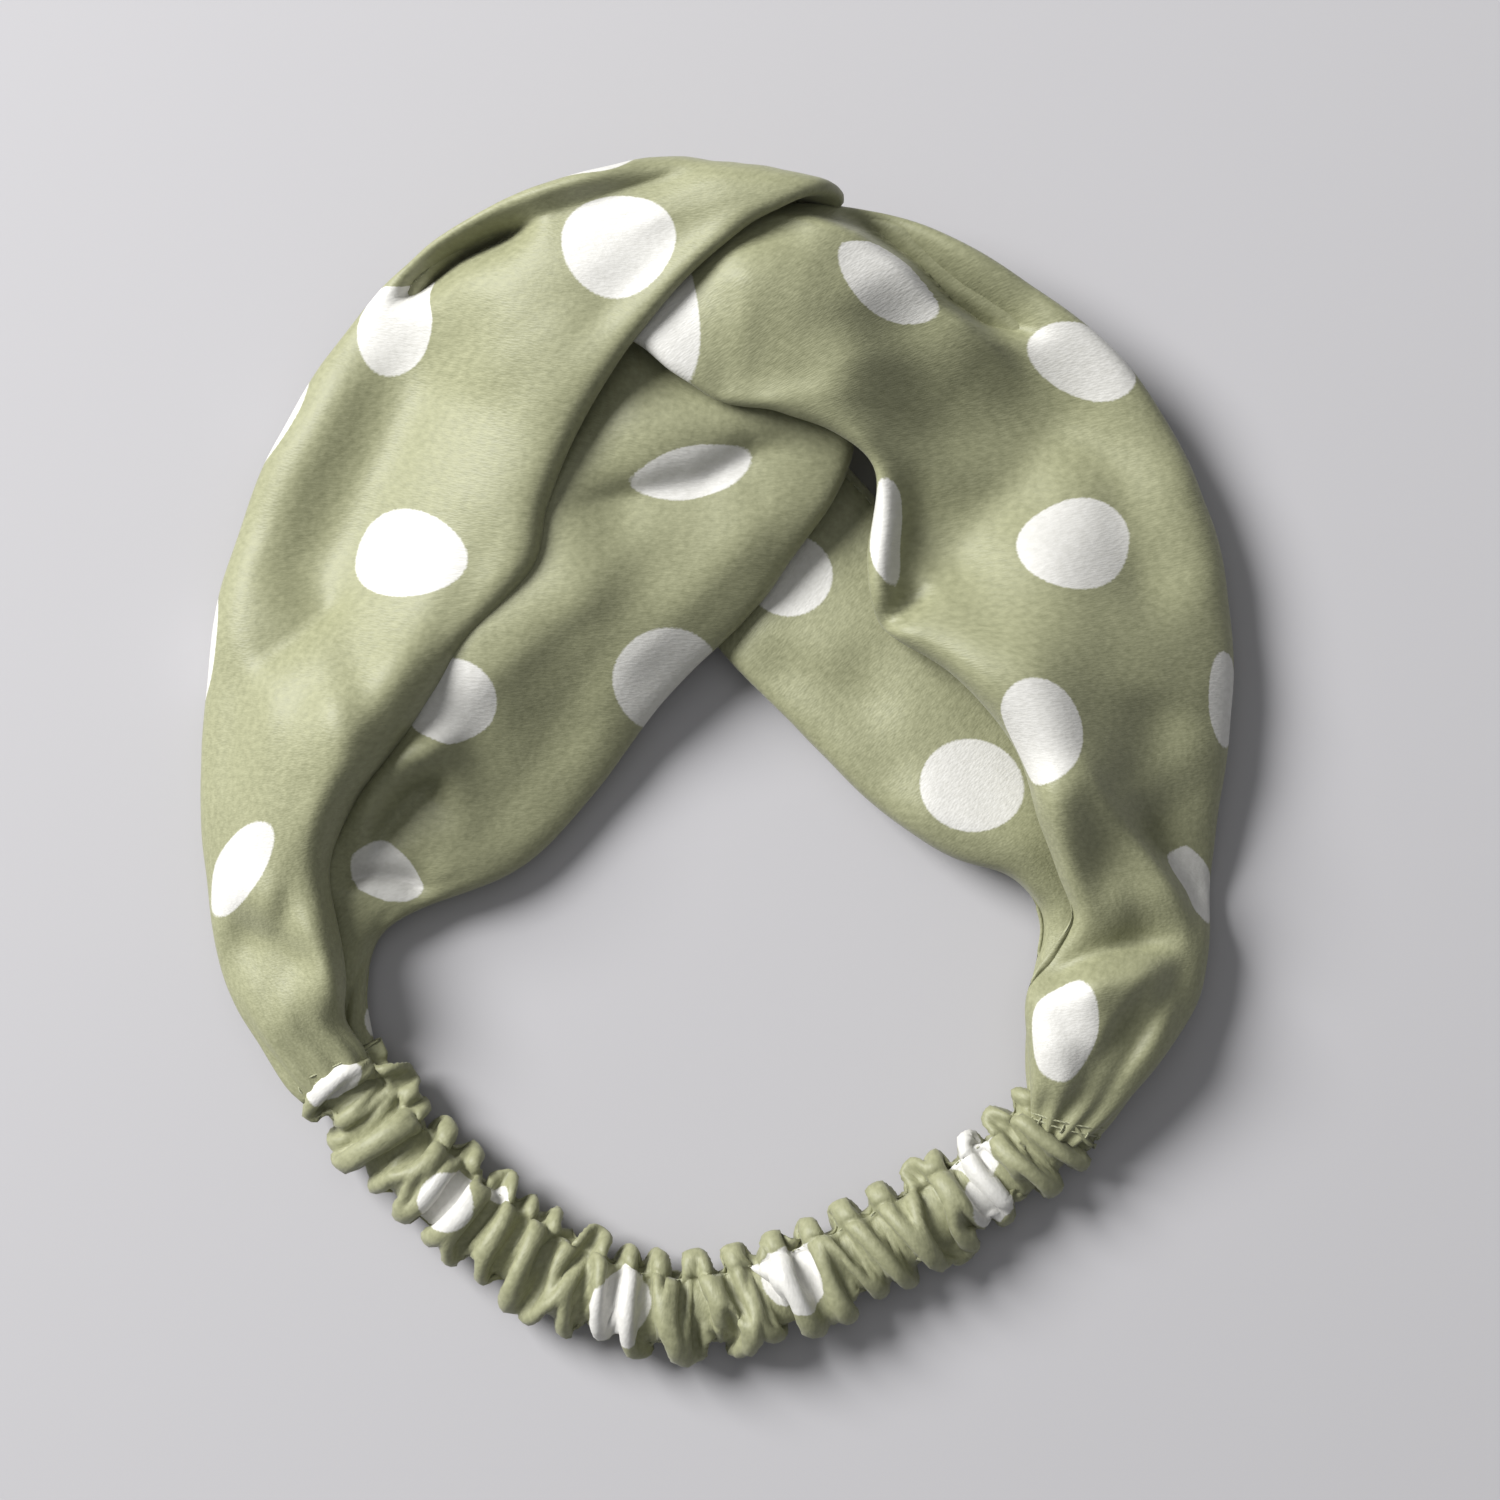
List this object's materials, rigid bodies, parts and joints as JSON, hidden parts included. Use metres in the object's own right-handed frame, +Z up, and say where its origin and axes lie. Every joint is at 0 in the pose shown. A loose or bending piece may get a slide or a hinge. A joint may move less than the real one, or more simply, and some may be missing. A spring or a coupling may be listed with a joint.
{
  "type": "knotted headband",
  "caption": "Soft loop for the head: two wide printed cloth wraps linked in a crossed knot, closed at the nape by an elastic in a ruffled casing.",
  "frame": {"origin": "under the middle of the headband's outline, on the surface that it rests on", "axes": "+Z up out of the surface; +Y from the ruffled elastic casing towards the knot; +X from the left wrap towards the right wrap"},
  "size_m": [0.1892, 0.2196, 0.0368],
  "materials": {
    "printed_cloth": "sage green crepe-satin weave with off-white dots and a soft sheen",
    "elastic": "white woven elastic",
    "thread": "matching sewing thread"
  },
  "bodies": {
    "left_half": {"left_wrap": "printed_cloth", "left_wrap_seam": "thread", "left_gather_thread": "thread", "left_join_stitches": "thread", "left_elastic_tack": "thread", "elastic_casing": "printed_cloth", "elastic_band": "elastic", "casing_topstitch": "thread"},
    "right_half": {"right_wrap": "printed_cloth", "right_wrap_seam": "thread", "right_gather_thread": "thread", "right_join_stitches": "thread", "right_elastic_tack": "thread"}
  },
  "joints": [
    {"name": "knot_pivot", "type": "hinge", "parent": "left_half", "child": "right_half", "pos_m": [-0.002, 0.078, 0.018], "axis": [0, 0, 1], "range_deg": [0, 15], "stiffness_Nm_per_rad": 1.2, "deforming": ["elastic_casing", "elastic_band", "casing_topstitch"]}
  ]
}
